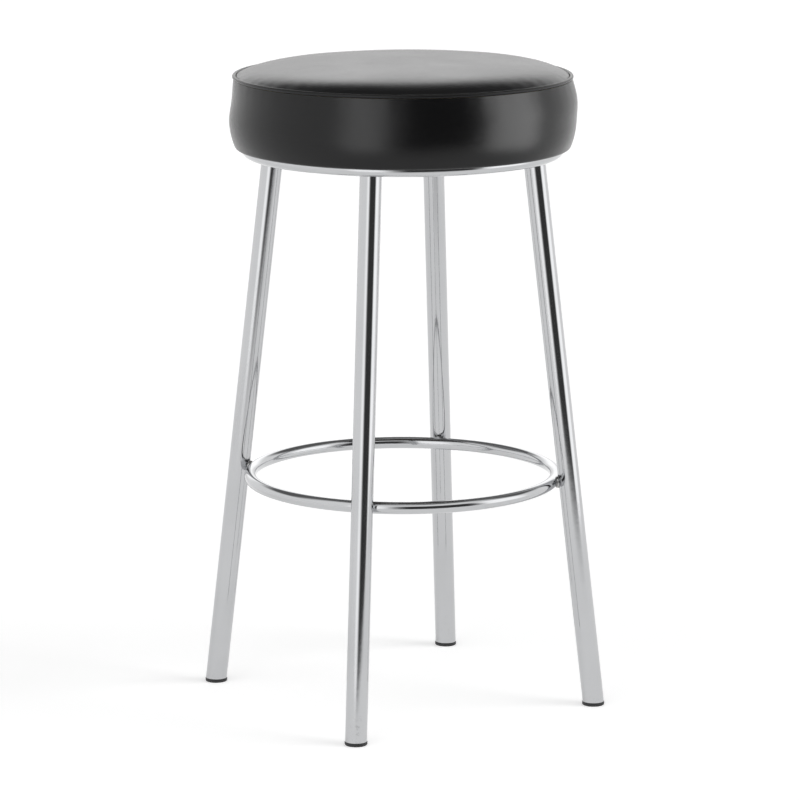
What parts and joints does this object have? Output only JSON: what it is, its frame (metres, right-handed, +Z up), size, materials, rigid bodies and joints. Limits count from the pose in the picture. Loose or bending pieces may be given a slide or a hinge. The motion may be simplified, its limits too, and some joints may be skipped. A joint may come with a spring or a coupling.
{
  "type": "lab stool",
  "caption": "Round padded stool with a boxed leatherette cushion on splayed chrome tube legs, a seat hoop, a foot-rest hoop and flat floor glides.",
  "frame": {"origin": "on the floor, below the centre of the seat", "axes": "+Z up along the stool's axis; the legs stand on the diagonals, with -Y the front and -X the left"},
  "size_m": [0.3668, 0.3668, 0.688],
  "materials": {
    "chrome": "bright nickel-chrome plating on steel",
    "plate_steel": "plated flat steel with weld beads, hidden under the seat",
    "zinc_fastener": "zinc-plated steel fasteners",
    "leatherette": "black leatherette with a fine grain and a soft sheen",
    "welt_leatherette": "black leatherette piping",
    "foam": "open-cell seat foam",
    "plywood": null,
    "glide_plastic": "moulded black plastic"
  },
  "bodies": {
    "root": {"seat_ring": "chrome", "foot_ring": "chrome", "foot_ring_welds": "chrome", "leg_front_left": "chrome", "leg_front_right": "chrome", "leg_rear_left": "chrome", "leg_rear_right": "chrome", "leg_top_welds": "plate_steel", "seat_ring_welds": "plate_steel", "top_plate_front_left": "plate_steel", "top_plate_front_right": "plate_steel", "top_plate_rear_left": "plate_steel", "top_plate_rear_right": "plate_steel", "seat_bolts": "zinc_fastener", "seat_washers": "zinc_fastener", "seat_t_nuts": "zinc_fastener", "seat_staples": "zinc_fastener", "seat_top_cover": "leatherette", "seat_side_band": "leatherette", "seat_welt": "welt_leatherette", "seat_foam": "foam", "seat_board": "plywood", "glide_front_left": "glide_plastic", "glide_front_right": "glide_plastic", "glide_rear_left": "glide_plastic", "glide_rear_right": "glide_plastic"}
  },
  "joints": []
}
